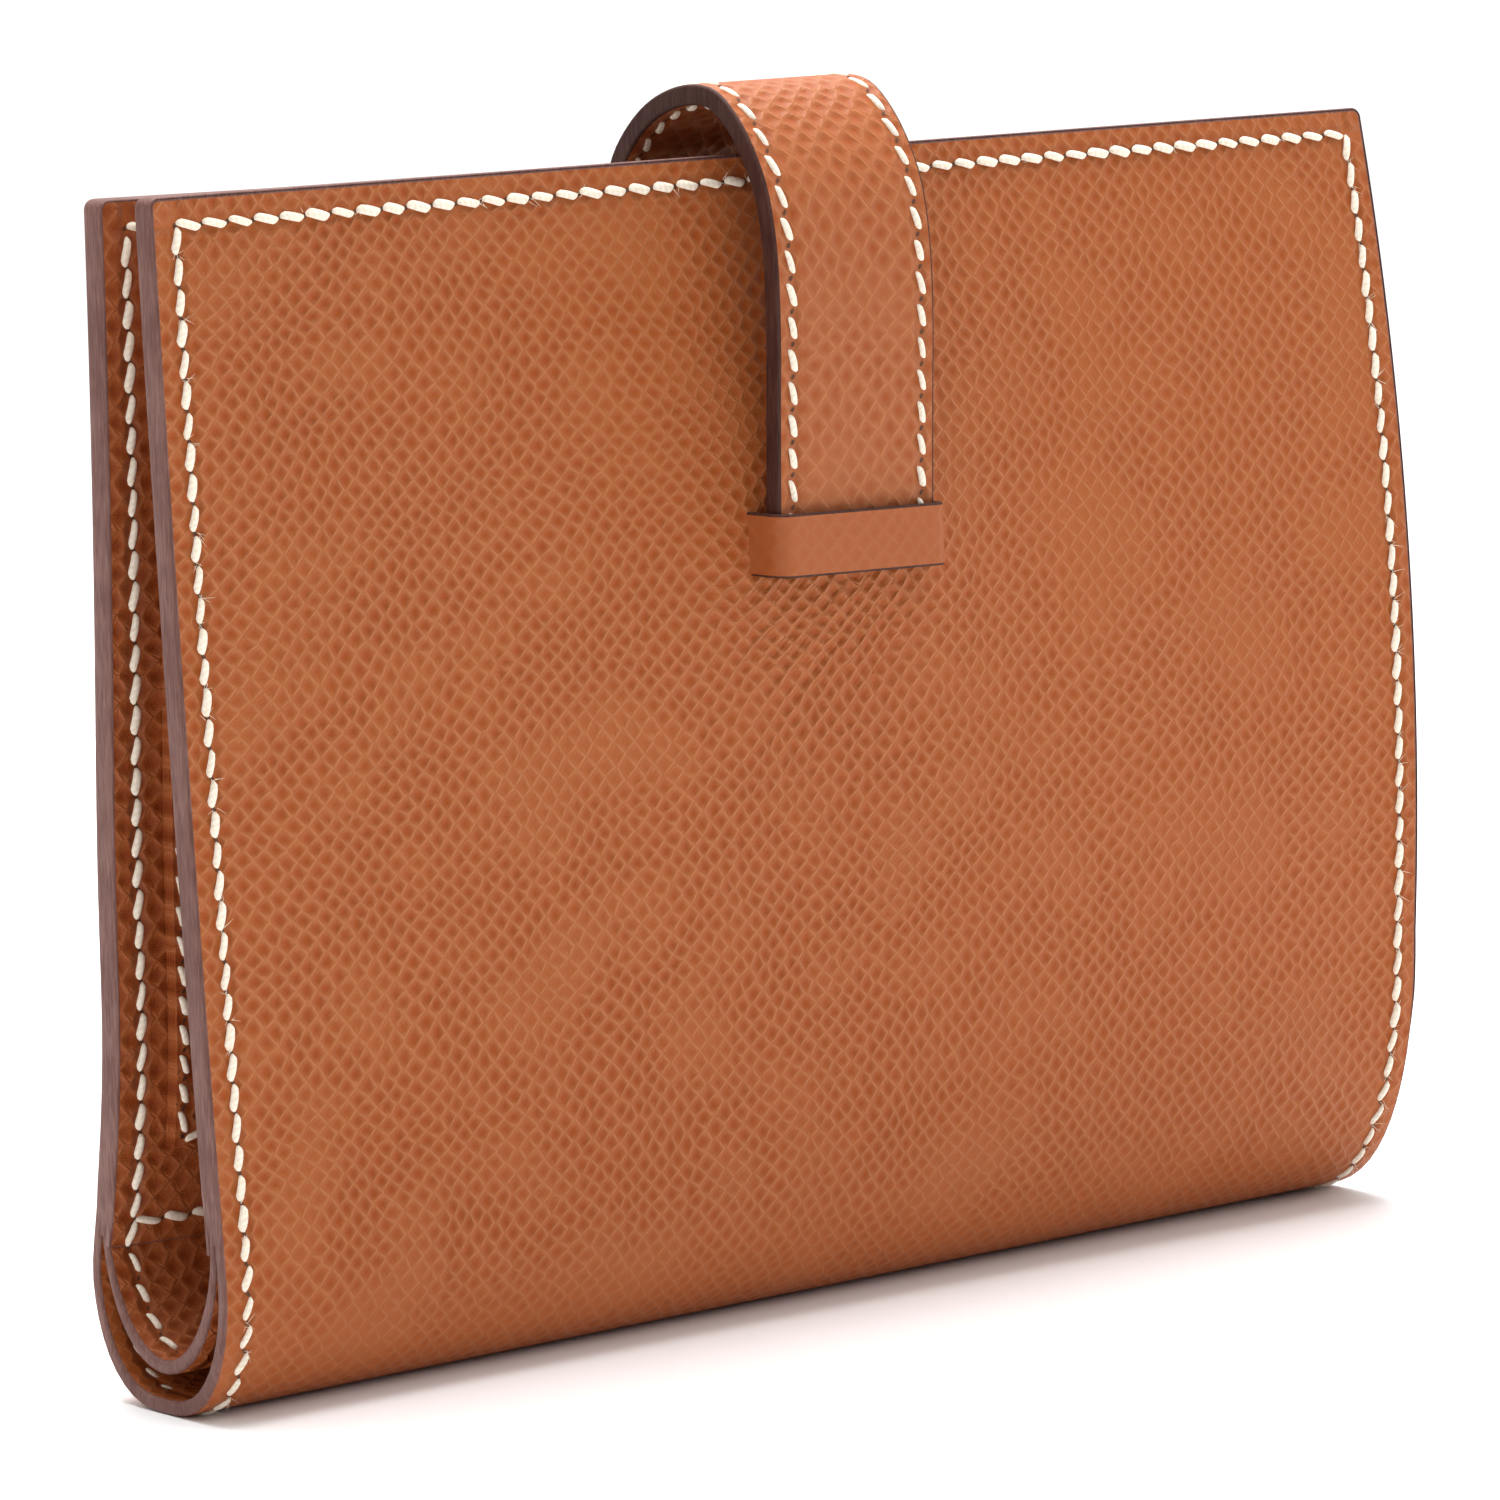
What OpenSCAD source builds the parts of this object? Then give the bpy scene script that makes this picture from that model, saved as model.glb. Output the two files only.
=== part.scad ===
// Strap-closed bifold wallet, shut and standing on its fold.
// X runs along the fold, the strap-bar cover is on -Y, +Z is up, the fold's flat rest is at Z = 0.

/* [Closed wallet] */
// Width along the fold
wallet_w = 125; // [110:1:140]
// Height from the fold to the open edges
wallet_h = 96; // [85:1:110]
// Radius of the fold's outer curve
fold_r = 6.85; // [6:0.05:8]
// Half width of the flat strip the fold rests on
fold_flat = 2; // [1:0.1:3]
// Inward lean of the near cover in degrees
near_lean = 1.6; // [1:0.1:4]
// Inward lean of the far cover in degrees
far_lean = 3.2; // [1:0.1:4]
// Radius of the covers' free corners
corner_r = 2; // [1:0.5:5]

/* [Leather] */
// Thickness of the outer cover
cover_t = 1; // [0.8:0.1:1.4]
// Thickness of the lining on the covers
lining_t = 0.8; // [0.6:0.1:1.2]
// Thickness of the pocket panels
panel_t = 0.7; // [0.5:0.1:1]
// Thickness of one card slot
slot_t = 0.5; // [0.4:0.05:0.7]

/* [Inner fold] */
// Height of the lining's lowest point above the rest
inner_z = 3.2; // [2:0.1:4]
// Radius of the lining's curve
inner_r = 5.2; // [4:0.1:6]
// Half width of the lining's flat bottom
inner_flat = 1; // [0.5:0.1:2]
// Thickness of the lining in the fold
inner_t = 1; // [0.8:0.1:1.3]
// Height where the lining's arms end and the panels start
inner_top = 13.7; // [12:0.1:16]

/* [Card slots] */
// Width of the slot block
slot_w = 92; // [88:1:110]
// Distance from the left end to the slot block
slot_in = 6.4; // [5:0.1:12]
// Height of the slots' lower edge along the cover
slot_low = 15; // [12:1:20]
// Step between the slots' mouths
slot_step = 10; // [7:1:14]
// Height of the rear slot's mouth along the cover
slot_high = 78; // [60:1:84]

/* [Stitching] */
// Inset of the stitch rows from the edges
row_in = 2.2; // [1.5:0.1:3]
// Width of the thread
thread_w = 0.7; // [0.5:0.1:1]
// How far the thread stands proud
thread_t = 0.2; // [0.1:0.05:0.3]

/* [Strap] */
// Width of the strap
strap_w = 17; // [14:0.5:20]
// Thickness of the strap
strap_t = 1.6; // [1.2:0.1:2]
// Outer width of the strap's arch
arch_w = 19; // [16:0.5:22]
// Offset of the arch towards the near cover
arch_y = 2; // [0:0.1:3]
// Height where the arch starts
arch_z = 94; // [88:0.5:96]
// Outer radius of the arch's shoulders
arch_r = 7.6; // [5:0.1:8]
// Height of the strap's sewn end
strap_low = 63; // [60:0.5:65]
// Height of the tongue's tip on the far cover
tongue_low = 50; // [44:0.5:54]

/* [Bar and keeper] */
// Lower edge of the bar along the cover
bar_low = 55; // [45:0.1:60]
// Height of the bar
bar_h = 5.2; // [4:0.1:7]
// Room under the bar
bar_gap = 2.55; // [2.4:0.05:3.2]
// Leather thickness of the bar
bar_t = 1; // [0.8:0.1:1.4]

/* [Hidden] */
$fn = 96;
half_w = wallet_w / 2;
tan_y = function(lean) fold_flat + fold_r * cos(lean);
tan_z = function(lean) fold_r * (1 + sin(lean));
face_y = function(lean, z) tan_y(lean) - (z - tan_z(lean)) * tan(lean);
cover_len = (wallet_h - tan_z(far_lean)) / cos(far_lean);
panel_low = (inner_top + 0.6 - tan_z(near_lean)) / cos(near_lean);
row_a = half_w - row_in;
row_b = cover_len - row_in;
// where the lining's arms leave its curve: from the arm's free end back to the tangent point
arm_y = face_y(far_lean, inner_top) - cover_t - 0.2;
arm_dy = arm_y - inner_flat;
arm_dz = inner_top - inner_z - inner_r;
arm_lean = acos(inner_r / norm([arm_dy, arm_dz])) - atan2(arm_dz, arm_dy);
arm_len = sqrt(arm_dy * arm_dy + arm_dz * arm_dz - inner_r * inner_r);
arch_in = arch_w / 2 - arch_r;
near_leg_y = face_y(near_lean, strap_low) + 0.25;
far_leg_y = face_y(far_lean, strap_low) + 0.25;
near_leg_lean = atan2(arch_w / 2 + arch_y - strap_t - near_leg_y, arch_z - strap_low);
far_leg_lean = atan2(arch_w / 2 - arch_y - strap_t - far_leg_y, arch_z - strap_low);
leg_len = (arch_z - strap_low) / cos(near_leg_lean);
far_leg_len = (arch_z - strap_low) / cos(far_leg_lean);
bar_x = strap_w / 2 + 0.25;
leather = [0.72, 0.41, 0.26];
lining_c = [0.64, 0.33, 0.17];
thread_c = [0.95, 0.91, 0.84];

// Cover coordinates: X along the fold, Y inwards from the outer face, Z up the cover.
module on_cover(lean) {
  translate([0, -tan_y(lean), tan_z(lean)]) rotate([-lean, 0, 0]) children();
}
module on_near() { on_cover(near_lean) children(); }
module on_far() { mirror([0, 1, 0]) on_cover(far_lean) children(); }
// A drawing in Y and Z carried along X.
module along_x(from, to) {
  translate([from, 0, 0]) rotate([90, 0, 90]) linear_extrude(to - from) children();
}
// A drawing in X and Z given a thickness from Y = deep to Y = deep + thick.
module plate(deep, thick) {
  translate([0, deep + thick, 0]) rotate([90, 0, 0]) linear_extrude(thick) children();
}
// Cover outline: square at the fold, rounded at the free corners.
module leaf(low, high) {
  translate([-half_w, low]) square([wallet_w, high - low - corner_r]);
  translate([-half_w + corner_r, high - corner_r - 1]) square([wallet_w - 2 * corner_r, corner_r + 1]);
  for (s = [-1, 1]) translate([s * (half_w - corner_r), high - corner_r]) circle(corner_r);
}
// A thread row bent into a U that hangs from the top row.
module row_u(low) {
  difference() {
    translate([-row_a - thread_w / 2, low]) square([2 * row_a + thread_w, row_b - low + thread_w / 2]);
    translate([-row_a + thread_w / 2, low - 1]) square([2 * row_a - thread_w, row_b - low + 1 - thread_w / 2]);
  }
}
// A thread row round all four sides of a panel.
module row_ring(x0, x1, z0, z1) {
  difference() {
    translate([x0, z0]) square([x1 - x0, z1 - z0]);
    translate([x0 + thread_w, z0 + thread_w]) square([x1 - x0 - 2 * thread_w, z1 - z0 - 2 * thread_w]);
  }
}
// Filled section of the outer fold, shrunk by inset.
module fold_disc(inset) {
  for (s = [-1, 1]) translate([s * fold_flat, fold_r]) circle(fold_r - inset);
  translate([-fold_flat, inset]) square([2 * fold_flat, 2 * (fold_r - inset)]);
}
module fold_band(outer, inner, top) {
  difference() {
    fold_disc(outer);
    fold_disc(inner);
    translate([-20, top]) square([40, 20]);
  }
}
// Section of the lining's fold, shrunk by inset: down one leaning arm, round the curve, up the other.
function egg_path(inset) =
  let (r = inner_r - inset, zc = inner_z + inner_r,
       ey = inner_flat + r * cos(arm_lean) + arm_len * sin(arm_lean),
       ez = zc - r * sin(arm_lean) + arm_len * cos(arm_lean),
       sweep = [for (i = [0:18]) 180 + arm_lean + (90 - arm_lean) * i / 18])
  concat([[-ey, ez]],
    [for (a = sweep) [-inner_flat + r * cos(a), zc + r * sin(a)]],
    [for (i = [18:-1:0]) [inner_flat - r * cos(sweep[i]), zc + r * sin(sweep[i])]],
    [[ey, ez]]);
module egg_band(outer, inner) {
  a = egg_path(outer);
  b = egg_path(inner);
  polygon(concat(a, [for (i = [len(b) - 1:-1:0]) b[i]]));
}
// Section of the strap's arch.
module arch_disc(r) {
  for (s = [-1, 1]) translate([s * arch_in - arch_y, arch_z]) circle(r);
  translate([-arch_in - arch_y, arch_z - r]) square([2 * arch_in, 2 * r]);
}
module arch_band() {
  difference() {
    arch_disc(arch_r);
    arch_disc(arch_r - strap_t);
  }
}
// A wedge that opens from the shoulder's centre between two angles.
module wedge(a0, a1) {
  polygon([[0, 0], [20 * cos(a0), 20 * sin(a0)], [20 * cos(a1), 20 * sin(a1)]]);
}
// Bar or keeper: a flat loop that stands on the cover's outer face.
module loop() {
  translate([0, 0, bar_low]) linear_extrude(bar_h) difference() {
    union() {
      translate([-bar_x - bar_t, -bar_gap - bar_t + 1]) square([2 * (bar_x + bar_t), bar_gap + bar_t - 1]);
      translate([-bar_x - bar_t + 1, -bar_gap - bar_t]) square([2 * (bar_x + bar_t - 1), 1.5]);
      for (s = [-1, 1]) translate([s * (bar_x + bar_t - 1), -bar_gap - bar_t + 1]) circle(1, $fn = 48);
    }
    translate([-bar_x, -bar_gap]) square([2 * bar_x, bar_gap + 1]);
  }
}
// Strap leg coordinates: Z up the leg, Y outwards is negative, inner face on Y = 0.
module on_near_leg() {
  translate([0, -near_leg_y, strap_low]) rotate([near_leg_lean, 0, 0]) children();
}
module on_far_leg() {
  mirror([0, 1, 0]) translate([0, -far_leg_y, strap_low]) rotate([far_leg_lean, 0, 0]) children();
}
module leg(low, high) {
  translate([-strap_w / 2, -strap_t, low]) cube([strap_w, strap_t, high - low]);
}

// One side of a drawing in Y and Z: -1 is the near side, 1 the far side.
module half_of(side) {
  intersection() {
    children();
    translate([side < 0 ? -20 : 0, -5]) square([20, 60]);
  }
}
module cover_fold(side) {
  color(leather) difference() {
    along_x(-half_w, half_w) half_of(side) fold_band(0, cover_t, fold_r);
    for (s = [-1, 1]) along_x(s * row_a - thread_w / 2, s * row_a + thread_w / 2)
      fold_band(-1, thread_t, fold_r + 1);
  }
}
module cover_fold_near() { cover_fold(-1); }
module cover_fold_far() { cover_fold(1); }
module fold_thread(s) {
  color(thread_c) along_x(s * row_a - thread_w / 2, s * row_a + thread_w / 2)
    fold_band(0, thread_t, fold_r);
}
module fold_thread_left() { fold_thread(-1); }
module fold_thread_right() { fold_thread(1); }
module lining_fold(side) {
  color(lining_c) along_x(-half_w, half_w) half_of(side) egg_band(0, inner_t);
}
module lining_fold_near() { lining_fold(-1); }
module lining_fold_far() { lining_fold(1); }
module lining_thread(s) {
  color(thread_c) along_x(s * row_a - thread_w / 2, s * row_a + thread_w / 2)
    egg_band(inner_t, inner_t + thread_t);
}
module lining_thread_left() { lining_thread(-1); }
module lining_thread_right() { lining_thread(1); }

module cover_leaf() { color(leather) plate(0, cover_t) leaf(0, cover_len); }
module lining_leaf() { color(lining_c) plate(cover_t, lining_t) leaf(panel_low, cover_len); }
module panel_leaf() { color(leather) plate(cover_t + lining_t, panel_t) leaf(panel_low, cover_len); }
module cover_row() { color(thread_c) plate(-thread_t, thread_t) row_u(0.5); }
module panel_row() {
  color(thread_c) plate(cover_t + lining_t + panel_t, thread_t)
    row_ring(-row_a - thread_w / 2, row_a + thread_w / 2, panel_low + 2, row_b + thread_w / 2);
}
module cover_near() { on_near() cover_leaf(); }
module lining_near() { on_near() lining_leaf(); }
module pocket_panel_near() { on_near() panel_leaf(); }
module cover_near_thread() { on_near() cover_row(); }
module pocket_near_thread() { on_near() panel_row(); }
module strap_bar() { color(leather) on_near() loop(); }
module cover_far() { on_far() cover_leaf(); }
module lining_far() { on_far() lining_leaf(); }
module pocket_panel_far() { on_far() panel_leaf(); }
module cover_far_thread() { on_far() cover_row(); }
module pocket_far_thread() { on_far() panel_row(); }
module tongue_keeper() { color(leather) on_far() loop(); }

module slot(i) {
  color(lining_c) on_far() plate(cover_t + lining_t + panel_t + (i - 1) * slot_t, slot_t)
    translate([-half_w + slot_in, slot_low]) square([slot_w, slot_high - slot_low - (i - 1) * slot_step]);
}
module card_slot_1() { slot(1); }
module card_slot_2() { slot(2); }
module card_slot_3() { slot(3); }
module card_slot_4() { slot(4); }
module card_slot_thread() {
  color(thread_c) on_far() plate(cover_t + lining_t + panel_t + 4 * slot_t, thread_t) difference() {
    translate([-half_w + slot_in + 1, slot_low + 1]) square([slot_w - 2, slot_high - 3 * slot_step - slot_low - 2]);
    translate([-half_w + slot_in + 1 + thread_w, slot_low + 1 + thread_w])
      square([slot_w - 2 - 2 * thread_w, slot_high - slot_low]);
  }
}

module strap_base() { color(leather) on_near_leg() leg(0, leg_len - 0.06); }
module strap_base_thread() {
  color(thread_c) on_near_leg() plate(-strap_t - 0.1, 0.1) difference() {
    translate([-strap_w / 2 + 1.2, 1.2]) square([strap_w - 2.4, leg_len - 2]);
    translate([-strap_w / 2 + 1.2 + thread_w, 1.2 + thread_w])
      square([strap_w - 2.4 - 2 * thread_w, leg_len]);
  }
}
module link(side, low, high, crown) {
  color(leather) along_x(-strap_w / 2, strap_w / 2) intersection() {
    arch_band();
    translate([-arch_y, 0]) union() {
      translate([side * arch_in, arch_z]) wedge(low, high);
      if (crown) translate([side > 0 ? 0.06 : -arch_in, arch_z]) square([arch_in - 0.06, 20]);
    }
  }
}
module strap_link_1() { link(-1, 135.5, 179.5, false); }
module strap_link_2() { link(-1, 90, 134.5, true); }
module strap_link_3() { link(1, 45.5, 90, true); }
module strap_link_4() { link(1, 0.5, 44.5, false); }
module strap_tongue() {
  keep = bar_low + bar_h / 2;
  tip = (tongue_low - tan_z(far_lean)) / cos(far_lean);
  color(leather) union() {
    on_far_leg() leg(0, far_leg_len - 0.06);
    on_far() plate(-strap_t - 0.25, strap_t) union() {
      translate([-strap_w / 2, tip + 4]) square([strap_w, keep - tip - 4]);
      translate([-strap_w / 2 + 4, tip]) square([strap_w - 8, 5]);
      for (s = [-1, 1]) translate([s * (strap_w / 2 - 4), tip + 4]) circle(4);
    }
  }
}
module strap_tongue_thread() {
  color(thread_c) on_far_leg() plate(-strap_t - 0.1, 0.1) difference() {
    translate([-strap_w / 2 + 1.2, 6.5]) square([strap_w - 2.4, far_leg_len - 7.3]);
    translate([-strap_w / 2 + 1.2 + thread_w, 6.5 + thread_w])
      square([strap_w - 2.4 - 2 * thread_w, far_leg_len]);
  }
}

cover_fold_near();
cover_fold_far();
lining_fold_near();
lining_fold_far();
fold_thread_left();
fold_thread_right();
lining_thread_left();
lining_thread_right();
cover_near();
lining_near();
pocket_panel_near();
cover_near_thread();
pocket_near_thread();
strap_bar();
strap_base();
strap_base_thread();
cover_far();
lining_far();
pocket_panel_far();
cover_far_thread();
pocket_far_thread();
card_slot_1();
card_slot_2();
card_slot_3();
card_slot_4();
card_slot_thread();
tongue_keeper();
strap_link_1();
strap_link_2();
strap_link_3();
strap_link_4();
strap_tongue();
strap_tongue_thread();
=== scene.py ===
import math
import random

import bmesh
import bpy
import numpy as np
from mathutils import Matrix, Vector


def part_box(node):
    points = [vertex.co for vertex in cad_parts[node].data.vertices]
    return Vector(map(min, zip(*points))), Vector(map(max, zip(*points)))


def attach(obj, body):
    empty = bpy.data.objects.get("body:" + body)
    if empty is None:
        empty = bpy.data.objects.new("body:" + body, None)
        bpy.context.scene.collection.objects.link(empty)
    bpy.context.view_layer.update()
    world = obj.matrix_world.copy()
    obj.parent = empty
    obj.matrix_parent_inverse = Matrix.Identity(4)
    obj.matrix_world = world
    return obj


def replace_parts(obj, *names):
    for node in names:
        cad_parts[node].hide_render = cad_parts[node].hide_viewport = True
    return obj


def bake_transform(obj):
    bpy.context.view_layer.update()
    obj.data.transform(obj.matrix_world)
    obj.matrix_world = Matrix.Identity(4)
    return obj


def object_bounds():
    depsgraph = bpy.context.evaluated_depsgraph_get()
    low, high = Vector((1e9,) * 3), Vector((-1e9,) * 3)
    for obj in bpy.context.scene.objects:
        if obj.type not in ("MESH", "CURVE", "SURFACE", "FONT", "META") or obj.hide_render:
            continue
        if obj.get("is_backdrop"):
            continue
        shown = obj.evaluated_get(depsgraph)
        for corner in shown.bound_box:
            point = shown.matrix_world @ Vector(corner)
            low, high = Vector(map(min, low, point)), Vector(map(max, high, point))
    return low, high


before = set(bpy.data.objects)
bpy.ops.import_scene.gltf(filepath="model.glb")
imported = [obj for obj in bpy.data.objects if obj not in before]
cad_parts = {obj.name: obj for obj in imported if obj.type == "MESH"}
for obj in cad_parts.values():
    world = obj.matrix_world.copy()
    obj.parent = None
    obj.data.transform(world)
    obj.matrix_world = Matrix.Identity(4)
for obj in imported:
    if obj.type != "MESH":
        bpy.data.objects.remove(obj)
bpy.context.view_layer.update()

MM = 0.001
rng = random.Random(7)

# --- sizes, in millimetres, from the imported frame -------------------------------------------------
HALF_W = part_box("cover_near")[1].x / MM
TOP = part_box("cover_near")[1].z / MM
COVER_T = 0.95
LINING_T = 0.66
SLOT_T = 0.3
PANEL_T = {"near": 0.45, "far": 0.72}
STRAP_T = 1.7
LOOP_T = 0.6
LINING_GAP = 0.01    # air between the cover and its lining
SLOT_GAP = 0.02      # air between two card slots
LEAF_CORNER = 0.8    # rounding of the leaves' free corners
FOLD_REACH = 12.0    # how far up from the fold's middle the leather is plump
STRAP_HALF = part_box("strap_base")[1].x / MM * 0.985
BAR_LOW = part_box("strap_bar")[0].z / MM
BAR_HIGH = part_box("strap_bar")[1].z / MM
BAR_MID = (BAR_LOW + BAR_HIGH) / 2
PANEL_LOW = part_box("pocket_panel_far")[0].z / MM - 1
LINING_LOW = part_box("lining_fold_near")[0].z / MM
SLOT_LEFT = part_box("card_slot_1")[0].x / MM
SLOT_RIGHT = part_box("card_slot_1")[1].x / MM
SLOT_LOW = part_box("card_slot_1")[0].z / MM
SLOT_TOPS = [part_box(f"card_slot_{i}")[1].z / MM for i in (1, 2, 3, 4)]
ROW_IN = 2.2          # from a cut edge to its row of stitches
PITCH = 2.42         # from stitch to stitch on the covers
STRAP_PITCH = 2.62
GRAIN_SLANT = math.radians(44)


# --- how the leather hangs --------------------------------------------------------------------------
class Cover:
    """Outer face of one half of the wallet, from the middle of the fold to the free edge.
    A place on it is (x, s): x along the fold, s up the leather from the middle of the fold."""

    inner_fold = False

    def __init__(self, side):
        self.side = side
        self.cache = {}

    def shape(self, x):
        """How far out the belly stands, how high it is, how far out the free edge stands, how far the leaf
        swells between the two, and how far it is pinched in above the fold."""
        u = x / HALF_W
        if self.side < 0:
            out = 0.35 * u * (1 + u)
            belly, free = 11.2 + 2.3 * u + out, 6.65 + 1.7 * u + out
            return belly, 17.5 + 6.5 * u, free, 2.3 + 1.425 * u - 1.225 * u * u, 0.0
        return 9.3, 10.5, 4.15 + 0.2 * u, -1.1, 1.0

    def layer(self, x, depth):
        """Outline (out, up) of the leaf at depth below the outer face; the lining has its own fold."""
        belly, rise, free, swell, pinch = self.shape(x)
        a = np.linspace(0, math.pi / 2, 48)
        q = np.linspace(0, 1, 90)[1:]
        short = 0.35 + 0.65 * math.tanh(1.5 + 1.5 * x / HALF_W) if self.side > 0 else 0.0
        tall = TOP - rise - short
        up = np.concatenate([rise * (1 - np.cos(a)), rise + tall * q])
        high = belly + (free - belly) * q + swell * 4 * q * (1 - q)
        high -= pinch * np.exp(-(((q * tall - 16) / 13) ** 2)) * np.clip(q * tall / 6, 0, 1)
        if self.side < 0:
            over_bar = np.exp(-(((rise + tall * q - BAR_MID) / 11) ** 2))
            high += 1.25 * math.exp(-((x / 13) ** 2)) * over_bar
        out = np.concatenate([belly * np.sin(a) ** 0.76, high])
        if self.inner_fold:
            meet = LINING_LOW + 11.0
            wide = float(np.interp(meet, up, out)) - depth
            low = LINING_LOW + (depth - COVER_T)
            lower_up = low + (meet - low) * (1 - np.cos(a))
            lower_out = wide * np.sin(a)
            keep = up > meet
            return np.concatenate([lower_out, out[keep] - depth]), np.concatenate([lower_up, up[keep]])
        d_out, d_up = np.gradient(out), np.gradient(up)
        length = np.hypot(d_out, d_up)
        return out - depth * d_up / length, up + depth * d_out / length

    def curve(self, x, depth):
        key = (round(x, 2), round(depth, 3), self.inner_fold)
        if key not in self.cache:
            out, up = self.layer(x, depth)
            s = np.concatenate([[0], np.cumsum(np.hypot(np.diff(out), np.diff(up)))])
            self.cache[key] = (out, up, s)
        return self.cache[key]

    def length(self, x, depth=0.0):
        return float(self.curve(x, depth)[2][-1])

    def at_height(self, x, z, depth=0.0):
        out, up, s = self.curve(x, depth)
        return float(np.interp(z, up, s))

    def place(self, x, s, depth=0.0, lift=0.0):
        """(point, outward normal, direction up the leather), in millimetres."""
        out, up, run = self.curve(x, depth)
        ask = min(max(s, 0.0), run[-1])
        p = np.array([np.interp(ask, run, out), np.interp(ask, run, up)])
        lo, hi = max(ask - 0.6, 0.0), min(ask + 0.6, run[-1])
        a = np.array([np.interp(lo, run, out), np.interp(lo, run, up)])
        b = np.array([np.interp(hi, run, out), np.interp(hi, run, up)])
        t = (b - a) / max(np.hypot(*(b - a)), 1e-6)
        if ask < 0.6:
            t = np.array([1.0, 0.0]) * (1 - ask / 0.6) + t * ask / 0.6
            t /= np.hypot(*t)
        p = p + t * (s - ask)
        point = Vector((x, self.side * (p[0] + lift * t[1]), p[1] - lift * t[0]))
        return point, Vector((0, self.side * t[1], -t[0])), Vector((0, self.side * t[0], t[1]))


class Lining(Cover):
    inner_fold = True


near, far = Cover(-1), Cover(1)
near_in, far_in = Lining(-1), Lining(1)


def plump_at(s):
    """Share of the fold's plumpness at s up the leather."""
    return math.exp(-((s / FOLD_REACH) ** 4))


def spline(points, step=0.4):
    """Evenly stepped smooth path through the points."""
    p = [Vector(q) for q in points]
    p = [p[0] * 2 - p[1]] + p + [p[-1] * 2 - p[-2]]
    fine = []
    for i in range(1, len(p) - 2):
        for k in range(24):
            t = k / 24
            fine.append(0.5 * ((2 * p[i]) + (p[i + 1] - p[i - 1]) * t
                               + (2 * p[i - 1] - 5 * p[i] + 4 * p[i + 1] - p[i + 2]) * t * t
                               + (3 * p[i] - p[i - 1] - 3 * p[i + 1] + p[i + 2]) * t ** 3))
    fine.append(p[-2])
    run = np.concatenate([[0], np.cumsum([(b - a).length for a, b in zip(fine, fine[1:])])])
    n = max(2, int(run[-1] / step))
    at = np.linspace(0, run[-1], n + 1)
    xy = np.array([[q.x, q.y] for q in fine])
    return np.column_stack([np.interp(at, run, xy[:, 0]), np.interp(at, run, xy[:, 1])]), at


def far_face(z):
    return far.place(0, far.at_height(0, z))[0].y


# The strap's outer face, seen from the end: (y, z) from under the bar, over the top, down to the tongue's
# tip.
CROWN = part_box("strap_link_2")[1].z / MM
strap_path, strap_run = spline([
    (-13.85, BAR_LOW + 1.0), (-13.9, BAR_MID + 0.5), (-14.0, BAR_HIGH + 1), (-14.3, 75.3), (-14.6, 82),
    (-14.5, 88),
    (-13.7, 92.8), (-12.1, 96.4), (-9.9, 99.3), (-7.4, 101.2), (-4.5, CROWN + 0.1), (-1.2, 101.2),
    (2.0, 99.8), (4.8, 97.5), (6.6, 94.9), (7.6, 91), (7.7, 85), (7.2, 76),
    (far_face(BAR_HIGH) + 2.05, BAR_HIGH),
    (far_face(BAR_MID) + 1.95, BAR_MID), (far_face(58) + 1.9, 58),
    (far_face(50) + 1.85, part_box("strap_tongue")[0].z / MM)])
STRAP_LEN = float(strap_run[-1])


class Strap:
    """The strap's outer face: s along it from under the bar, x across it."""

    def place(self, x, s, depth=0.0, lift=0.0):
        y, z = (float(np.interp(s, strap_run, strap_path[:, k])) for k in (0, 1))
        a = [float(np.interp(s - 0.5, strap_run, strap_path[:, k])) for k in (0, 1)]
        b = [float(np.interp(s + 0.5, strap_run, strap_path[:, k])) for k in (0, 1)]
        t = Vector((0, b[0] - a[0], b[1] - a[1])).normalized()
        n = Vector((0, -t.z, t.y))
        return Vector((x, y, z)) + n * (lift - depth), n, t


strap = Strap()


def strap_at(point):
    """Distance along the strap of the place nearest to a point of the frame."""
    d = np.hypot(strap_path[:, 0] - point[0], strap_path[:, 1] - point[1])
    return float(strap_run[int(np.argmin(d))])


# --- shader building blocks ------------------------------------------------------------------------
def put(tree, kind, links=None, **settings):
    """A node with its settings; links gives each input's value or the socket that feeds it."""
    n = tree.nodes.new(kind)
    for k, v in settings.items():
        setattr(n, k, v)
    for k, v in (links or {}).items():
        if isinstance(v, bpy.types.NodeSocket):
            tree.links.new(v, n.inputs[k])
        else:
            n.inputs[k].default_value = v
    return n


def calc(tree, op, a, b=0.0, c=0.0):
    return put(tree, "ShaderNodeMath", {0: a, 1: b, 2: c}, operation=op).outputs[0]


def fade(tree, value, low, high, to_low=0.0, to_high=1.0):
    return put(tree, "ShaderNodeMapRange", {0: value, 1: low, 2: high, 3: to_low, 4: to_high},
               interpolation_type="SMOOTHSTEP").outputs[0]


def blend_colour(tree, amount, a, b):
    return put(tree, "ShaderNodeMix", {0: amount, 6: a, 7: b}, data_type="RGBA", blend_type="MIX").outputs[2]


def group(name, inputs, outputs):
    """An empty node group with its sockets, as (group, its inputs, its outputs)."""
    g = bpy.data.node_groups.new(name, "ShaderNodeTree")
    for label, kind, value in inputs:
        s = g.interface.new_socket(label, in_out="INPUT", socket_type=kind)
        if value is not None:
            s.default_value = value
    for label, kind in outputs:
        g.interface.new_socket(label, in_out="OUTPUT", socket_type=kind)
    return g, g.nodes.new("NodeGroupInput"), g.nodes.new("NodeGroupOutput")


NUM, VEC, COL = "NodeSocketFloat", "NodeSocketVector", "NodeSocketColor"


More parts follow.
